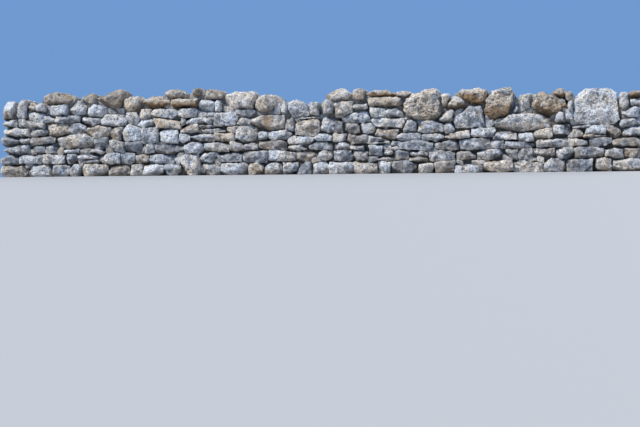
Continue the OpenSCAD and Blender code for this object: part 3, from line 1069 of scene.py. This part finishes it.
def stone_material(name, pale_share=1.0, stain=1.0, lichen=1.0, soil_and_shade=True, streak=None):
    """A weathered stone finish that reads each stone's own look, with painted shade in the joints,
    in hollows and low on stained stones.
    """
    known = bpy.data.materials.get(name)
    if known:
        return known
    colours = bpy.context.scene.wall_colours
    material = bpy.data.materials.new(name)
    material.use_nodes = True
    material.node_tree.nodes.clear()
    tree = Tree(material.node_tree)
    place = tree.add("ShaderNodeTexCoord").outputs["Object"]
    geometry = tree.add("ShaderNodeNewGeometry").outputs
    look = tree.add("ShaderNodeAttribute", attribute_name=STONE_LOOK)
    tone, warmth, amount = tree.add("ShaderNodeSeparateColor", {0: look.outputs["Color"]}).outputs
    rise = tree.add("ShaderNodeAttribute", attribute_name=STONE_RISE).outputs["Fac"]
    stone = placed(
        tree,
        "Weathered limestone",
        Place=place,
        Tone=tone,
        Warmth=warmth,
        Pale=rgb([channel * pale_share for channel in colours.pale]),
        Grey=rgb(colours.grey),
        Warm=rgb(colours.warm),
        Crust=rgb(colours.crust),
    )
    colour = stone["Color"]
    # Pale rubbed edges, and painted shade in the hollows
    colour = placed(tree, "Rubbed edges and painted hollow shade", Color=colour, Edge=geometry["Pointiness"])["Color"]
    # Ochre stain on the lower part, with painted shade towards the bottom
    colour = placed(
        tree,
        "Ochre underside with painted shade",
        Color=colour,
        Place=place,
        Rise=rise,
        Amount=tree.times(amount, stain),
        Stain=rgb(colours.ochre),
    )["Color"]
    colour = placed(
        tree,
        "Lichen",
        Color=colour,
        Place=place,
        Normal=geometry["Normal"],
        Amount=tree.times(look.outputs["Alpha"], lichen),
        Lichen=rgb(colours.lichen),
    )["Color"]
    if streak:
        middle_x, half = streak
        colour = placed(tree, "Tan streak", Color=colour, Place=place, Middle=middle_x, Half=half)
        colour = colour["Color"]
    # Painted shade and dark earth deep in the joints
    if soil_and_shade:
        colour = placed(tree, "Joint soil", Color=colour, Place=place, Soil=rgb(colours.soil_and_shade))
        colour = colour["Color"]
    bump = tree.add(
        "ShaderNodeBump", {"Height": stone["Relief"], "Strength": 1.0, "Distance": BUMP_DEPTH}
    )
    shader = tree.add("ShaderNodeBsdfPrincipled")
    tree.feed(shader, "Base Color", colour)
    tree.feed(shader, "Roughness", tree.step(stone["Relief"], "roughness"))
    tree.feed(shader, "Normal", bump.outputs["Normal"])
    shader.inputs["Specular IOR Level"].default_value = STONE_SPECULAR
    output = tree.add("ShaderNodeOutputMaterial")
    tree.feed(output, "Surface", shader.outputs["BSDF"])
    return material


def face_material():
    return stone_material("Face limestone", stain=0.8, lichen=0.6)


def streaked_material():
    return stone_material("Streaked limestone", stain=0.8, lichen=0.6, streak=STREAK)


def coping_material():
    return stone_material("Coping limestone", soil_and_shade=False)


class WALL_OT_front_courses(bpy.types.Operator):
    """Weathers the courses of the front face"""

    bl_idname = "wall.front_courses"
    bl_label = "Front courses"

    def execute(self, context):
        voxel = context.scene.wall_stones.face_voxel
        for node in FRONT:
            dress(node, face_material(), False, voxel)
        return {"FINISHED"}


class WALL_OT_back_courses(bpy.types.Operator):
    """Weathers the courses of the back face"""

    bl_idname = "wall.back_courses"
    bl_label = "Back courses"

    def execute(self, context):
        voxel = context.scene.wall_stones.face_voxel
        for node in BACK:
            dress(node, face_material(), False, voxel)
        return {"FINISHED"}


class WALL_OT_face_boulders(bpy.types.Operator):
    """Weathers the larger stones built into the faces"""

    bl_idname = "wall.face_boulders"
    bl_label = "Face boulders"

    def execute(self, context):
        voxel = context.scene.wall_stones.face_voxel
        for node in ("face_boulders", *SINGLE_FACE):
            finish = streaked_material() if node == "rounded_boulder" else face_material()
            dress(node, finish, False, voxel)
        return {"FINISHED"}


class WALL_OT_coping(bpy.types.Operator):
    """Weathers the coping stones along the top"""

    bl_idname = "wall.coping"
    bl_label = "Coping"

    def execute(self, context):
        voxel = context.scene.wall_stones.coping_voxel
        for node in COPING:
            dress(node, coping_material(), True, voxel)
        for node in SINGLE_COPING:
            fine = voxel * BOULDER_GRAIN
            swell, wear = (1.0, 1.0) if node == "great_slab" else (BOULDER_SWELL, BOULDER_WEAR)
            dress(node, coping_material(), True, fine, swell, wear, BOULDER_KEPT)
        return {"FINISHED"}


class WALL_OT_heads(bpy.types.Operator):
    """Weathers the stacked heads at the two ends"""

    bl_idname = "wall.heads"
    bl_label = "Heads"

    def execute(self, context):
        voxel = context.scene.wall_stones.coping_voxel
        for node in HEADS:
            dress(node, coping_material(), False, voxel)
        return {"FINISHED"}


class WALL_OT_core(bpy.types.Operator):
    """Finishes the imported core, which stays as the solids have it"""

    bl_idname = "wall.core"
    bl_label = "Core"

    def execute(self, context):
        core = frame["nodes"]["core"]
        core.data.materials.clear()
        core.data.materials.append(
            stone_material("Core limestone", pale_share=0.6, stain=0.3, lichen=0.0)
        )
        return {"FINISHED"}


def face_half(z):
    """Distance of a face from the wall's middle plane at a height."""
    return max(FOOT_HALF - BATTER * z, LEAST_FACE)


def cell_place(across, rise):
    """Place along the wall and height of a cell of the search grid."""
    return (across + 0.5) * CELL - SEARCH_HALF, SEARCH_FOOT + (rise + 0.5) * CELL


def hole_cells(side, faces):
    """Cells of a grid over one face where a hole goes deep between the stones."""
    found = set()
    for across in range(int(2 * SEARCH_HALF / CELL)):
        is_covered = False
        for rise in reversed(range(int((SEARCH_TOP - SEARCH_FOOT) / CELL))):
            x, z = cell_place(across, rise)
            start = Vector((x, side * OUTSIDE, z))
            reach = [tree.ray_cast(start, Vector((0.0, -side, 0.0)))[0] for tree in faces]
            nearest = max((side * hit.y for hit in reach if hit), default=-OUTSIDE)
            if face_half(z) - nearest < GAP_DEPTH:
                is_covered = True
            elif is_covered:
                found.add((across, rise))
    return found


def clusters(cells):
    """Places of the cells that touch, in groups no longer than a pinning stone."""
    left = set(cells)
    while left:
        group = []
        waiting = [min(left)]
        left.discard(waiting[0])
        while waiting:
            across, rise = waiting.pop()
            group.append(Vector(cell_place(across, rise)))
            for way_x, way_z in ((1, 0), (-1, 0), (0, 1), (0, -1)):
                near = (across + way_x, rise + way_z)
                if near in left:
                    left.discard(near)
                    waiting.append(near)
        if len(group) >= LEAST_CELLS:
            yield from short_groups(group)


def lie_of(group):
    """Middle, direction and half reaches of a group of places."""
    centre = sum(group, Vector((0.0, 0.0))) / len(group)
    away = [place - centre for place in group]
    xx = sum(p.x * p.x for p in away)
    zz = sum(p.y * p.y for p in away)
    xz = sum(p.x * p.y for p in away)
    angle = 0.5 * math.atan2(2 * xz, xx - zz)
    ahead = Vector((math.cos(angle), math.sin(angle)))
    side = Vector((-ahead.y, ahead.x))
    spans = []
    for way in (ahead, side):
        along = [p.dot(way) for p in away]
        centre = centre + way * (max(along) + min(along)) / 2
        spans.append((max(along) - min(along)) / 2 + CELL / 2)
    return centre, angle, ahead, spans


def short_groups(group):
    """The group itself, or its halves where it is longer than a pinning stone."""
    centre, _, ahead, spans = lie_of(group)
    if spans[0] * 2 <= LONGEST_PIN:
        yield group
        return
    for half in (True, False):
        part = [place for place in group if ((place - centre).dot(ahead) > 0) == half]
        if part:
            yield from short_groups(part)


def pin_shapes():
    """The small stones that close holes, modelled once each."""
    shapes = []
    for rank in range(PIN_SHAPES):
        draw = random.Random(f"pin {rank}")
        deselect_all()
        bpy.ops.mesh.primitive_cube_add(size=1.0)
        shape = bpy.context.active_object
        edit_all(shape)
        bpy.ops.mesh.subdivide(number_cuts=2, smoothness=0.35)
        bpy.ops.transform.vertex_random(offset=0.05, uniform=0.0, normal=0.0, seed=rank + 1)
        leave_edit()
        chip(shape, draw, *PIN_CUTS)
        shapes.append(shape)
    return shapes


def placed_pin(shape, side, place, angle, size):
    """A copy of a small stone, sized, turned and set at a place in one face."""
    stone = shape.copy()
    stone.data = stone.data.copy()
    bpy.context.scene.collection.objects.link(stone)
    stone.data.transform(
        Matrix.Translation((place.x, side * place.y, place.z))
        @ Matrix.Rotation(-angle, 4, "Y")
        @ Matrix.Diagonal((*size, 1.0))
    )
    return stone


def pin_faces(side, name, shapes, faces):
    """Closes the holes of one face: packing deep inside, a wedge stone in front of it."""
    made = []
    for group in clusters(hole_cells(side, faces)):
        centre, angle, _, spans = lie_of(group)
        draw = random.Random(f"{name} {round(centre.x, 2)} {round(centre.y, 2)}")
        packing, least = LOW_FILL if centre.y < WEDGE_TOP else HIGH_FILL
        for behind, share, is_wedge in (
            (packing, PACKING_SHARE, False),
            (WEDGE_DEPTH, WEDGE_SHARE, True),
        ):
            if is_wedge and (len(group) < least or spans[1] < LEAST_WEDGE):
                continue
            share *= draw.uniform(*PIN_SPREAD)
            size = (
                2 * spans[0] * share + PIN_MARGIN,
                draw.uniform(*PIN_THICKNESS),
                2 * spans[1] * share + PIN_MARGIN,
            )
            front = face_half(centre.y) - behind - draw.uniform(*PIN_SETBACK)
            place = Vector((centre.x, front - size[1] / 2, centre.y))
            turn = angle + (draw.uniform(*WEDGE_TURN) if is_wedge else 0.0)
            stone = placed_pin(draw.choice(shapes), side, place, turn, size)
            tone = draw.uniform(*PIN_TONE)
            mark_look(stone, (tone, draw.uniform(*PIN_WARMTH), PIN_STAIN, PIN_LICHEN))
            made.append(stone)
    return finish_piece(joined(made, name), (), face_material())


class WALL_OT_pinning(bpy.types.Operator):
    """Closes the holes between the stones with small wedge stones"""

    bl_idname = "wall.pinning"
    bl_label = "Pinning stones"

    def execute(self, context):
        pieces = [thing for thing in context.scene.objects if thing.name.endswith("_weathered")]
        seen = context.evaluated_depsgraph_get()
        faces = [BVHTree.FromObject(thing, seen) for thing in (*pieces, frame["nodes"]["core"])]
        shapes = pin_shapes()
        pin_faces(-1, "front_pinning", shapes, faces)
        pin_faces(1, "back_pinning", shapes, faces)
        for shape in shapes:
            bpy.data.objects.remove(shape)
        return {"FINISHED"}


class WALL_OT_stage(bpy.types.Operator):
    """Sets the floor, the soft lights and the camera"""

    bl_idname = "wall.stage"
    bl_label = "Stage"

    def execute(self, context):
        colours = context.scene.wall_colours
        stage = context.scene.wall_stage
        build_floor(colours)
        world = bpy.data.worlds.new("Soft light")
        world.use_nodes = True
        backdrop = world.node_tree.nodes["Background"]
        backdrop.inputs["Color"].default_value = rgb(colours.sky)
        backdrop.inputs["Strength"].default_value = stage.sky_strength
        context.scene.world = world
        add_sun("Key light", stage.sun, *KEY_LIGHT)
        add_sun("Back light", stage.back_light, *BACK_LIGHT)
        lens = bpy.data.cameras.new("Camera")
        lens.lens = stage.lens
        lens.sensor_width = SENSOR_WIDTH
        lens.clip_end = VIEW_REACH
        camera = bpy.data.objects.new("Camera", lens)
        camera.location = stage.camera_place
        camera.rotation_euler = (math.radians(90), stage.camera_roll, stage.camera_turn)
        context.scene.collection.objects.link(camera)
        context.scene.camera = camera
        context.scene.view_settings.view_transform = "Standard"
        return {"FINISHED"}


def add_sun(name, strength, softness, colour, turns):
    """A soft distant light; its softness and its tilt and turn are in degrees."""
    sun = bpy.data.lights.new(name, "SUN")
    sun.energy = strength
    sun.angle = math.radians(softness)
    sun.color = colour
    light = bpy.data.objects.new(name, sun)
    light.rotation_euler = (math.radians(turns[0]), 0.0, math.radians(turns[1]))
    bpy.context.scene.collection.objects.link(light)


def build_floor(colours):
    """A floor that is level under the wall and falls away in front of it."""
    deselect_all()
    bpy.ops.mesh.primitive_plane_add(size=FLOOR_SIDE, location=(0.0, 0.0, 0.0))
    floor = bpy.context.active_object
    floor.name = "floor"
    edit_all(floor)
    bpy.ops.mesh.bisect(plane_co=(0.0, FLOOR_FOLD, 0.0), plane_no=(0.0, 1.0, 0.0))
    bpy.ops.mesh.select_all(action="DESELECT")
    mesh = bmesh.from_edit_mesh(floor.data)
    for vertex in mesh.verts:
        vertex.select_set(vertex.co.y < -FLOOR_SIDE / 4)
    mesh.select_flush(True)
    bmesh.update_edit_mesh(floor.data)
    bpy.ops.transform.translate(value=(0.0, 0.0, FLOOR_DROP))
    leave_edit()
    material = bpy.data.materials.new("Plain floor")
    material.use_nodes = True
    shader = material.node_tree.nodes["Principled BSDF"]
    shader.inputs["Base Color"].default_value = rgb(colours.floor)
    shader.inputs["Roughness"].default_value = FLOOR_ROUGHNESS
    floor.data.materials.append(material)


class WALL_PT_panel(bpy.types.Panel):
    """Lists the steps that dress the wall"""

    bl_idname = "WALL_PT_panel"
    bl_label = "Dry stone wall"
    bl_space_type = "VIEW_3D"
    bl_region_type = "UI"
    bl_category = "Wall"

    def draw(self, context):
        for step in STEPS:
            self.layout.operator(step.bl_idname)
        scene = context.scene
        for group in (scene.wall_stones, scene.wall_colours, scene.wall_stage):
            for name in group.bl_rna.properties.keys():
                if name not in ("rna_type", "name"):
                    self.layout.prop(group, name)


GROUPS = (WallStones, WallColours, WallStage)
STEPS = (
    WALL_OT_front_courses,
    WALL_OT_back_courses,
    WALL_OT_face_boulders,
    WALL_OT_coping,
    WALL_OT_heads,
    WALL_OT_core,
    WALL_OT_pinning,
    WALL_OT_stage,
)


def register():
    for kind in (*GROUPS, *STEPS, WALL_PT_panel):
        bpy.utils.register_class(kind)
    bpy.types.Scene.wall_stones = PointerProperty(type=WallStones)
    bpy.types.Scene.wall_colours = PointerProperty(type=WallColours)
    bpy.types.Scene.wall_stage = PointerProperty(type=WallStage)


def unregister():
    del bpy.types.Scene.wall_stones
    del bpy.types.Scene.wall_colours
    del bpy.types.Scene.wall_stage
    for kind in reversed((*GROUPS, *STEPS, WALL_PT_panel)):
        bpy.utils.unregister_class(kind)


def main():
    register()
    for step in STEPS:
        area, name = step.bl_idname.split(".")
        getattr(getattr(bpy.ops, area), name)()


if __name__ == "__main__":
    main()
